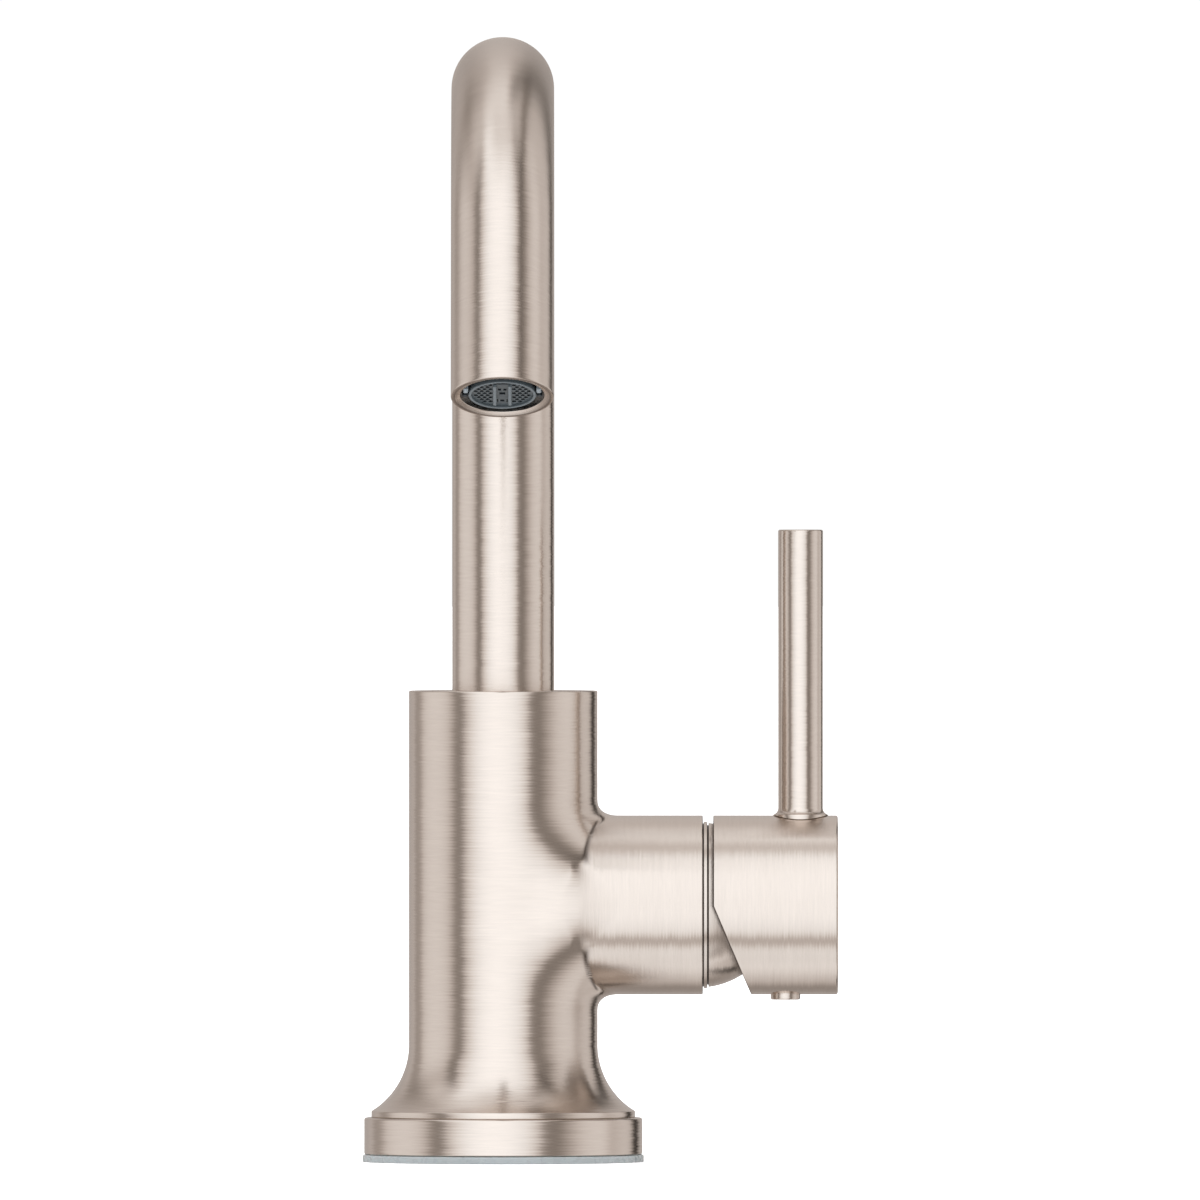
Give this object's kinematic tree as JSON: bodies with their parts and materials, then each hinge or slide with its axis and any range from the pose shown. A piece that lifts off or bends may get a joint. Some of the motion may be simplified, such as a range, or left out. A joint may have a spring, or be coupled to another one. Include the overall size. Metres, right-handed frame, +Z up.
{
  "type": "single-lever basin mixer",
  "caption": "Deck-mounted basin mixer tap: upright cylindrical body on a flared base, swivelling gooseneck spout, and a lever on a side arm that works a ceramic-disc cartridge.",
  "frame": {"origin": "centre of the gasket's underside, on the deck, on the axis of the upright body", "axes": "+Z up out of the deck along the body; -Y is the front, where the spout reaches; +X is the user's right, along the side arm to the lever"},
  "size_m": [0.1061, 0.1555, 0.2509],
  "materials": {
    "brushed_nickel": "warm brushed nickel plating, fine circumferential grain",
    "stainless_steel": "turned stainless steel",
    "brass": "machined brass",
    "black_rubber": "smooth matt rubber",
    "white_plastic": "moulded acetal",
    "red_plastic": "moulded acetal",
    "slate_plastic": "moulded, slightly satin",
    "clear_plastic": "pale translucent plastic",
    "ceramic": "lapped alumina ceramic"
  },
  "bodies": {
    "body": {"valve_body": "brushed_nickel", "base_ring": "brushed_nickel", "base_gasket": "clear_plastic", "spout_thrust_washer": "white_plastic", "spout_retaining_screw": "stainless_steel", "cartridge_base": "white_plastic", "cartridge_seals": "black_rubber", "cartridge_housing": "white_plastic", "fixed_ceramic_disc": "ceramic", "bonnet_nut": "brass", "temperature_stop_ring": "red_plastic", "trim_ring": "brushed_nickel", "trim_dome": "brushed_nickel"},
    "spout": {"spout_tube": "brushed_nickel", "spout_adapter": "brass", "spout_slide_rings": "white_plastic", "spout_o_rings": "black_rubber", "outlet_bushing": "brushed_nickel", "aerator_housing": "slate_plastic", "aerator_screen": "slate_plastic", "aerator_regulator": "white_plastic", "aerator_seal": "black_rubber"},
    "turret": {"cartridge_turret": "white_plastic", "turret_o_ring": "black_rubber", "stem_pin": "stainless_steel"},
    "slider": {"disc_slider": "white_plastic", "moving_ceramic_disc": "ceramic"},
    "lever": {"cartridge_stem": "stainless_steel", "handle_hub": "brushed_nickel", "lever_rod": "brushed_nickel", "lever_stud": "stainless_steel", "clamping_screw": "stainless_steel", "screw_cap": "brushed_nickel"}
  },
  "joints": [
    {"name": "spout_swivel", "type": "hinge", "parent": "body", "child": "spout", "pos_m": [0, 0, 0.09], "axis": [0, 0, 1], "range_deg": [-60, 60]},
    {"name": "temperature", "type": "hinge", "parent": "body", "child": "turret", "pos_m": [0.0434, 0, 0.05734], "axis": [1, 0, 0], "range_deg": [-45, 45]},
    {"name": "flow", "type": "hinge", "parent": "turret", "child": "lever", "pos_m": [0.0434, 0, 0.05734], "axis": [0, 1, 0], "range_deg": [0, 22]},
    {"name": "disc_slide", "type": "slide", "parent": "turret", "child": "slider", "axis": [0, 0, 1], "range_m": [0, 0.00375]}
  ],
  "couplings": [
    {"joint": "disc_slide", "follows": "flow", "m_per_rad": 0.009756}
  ]
}
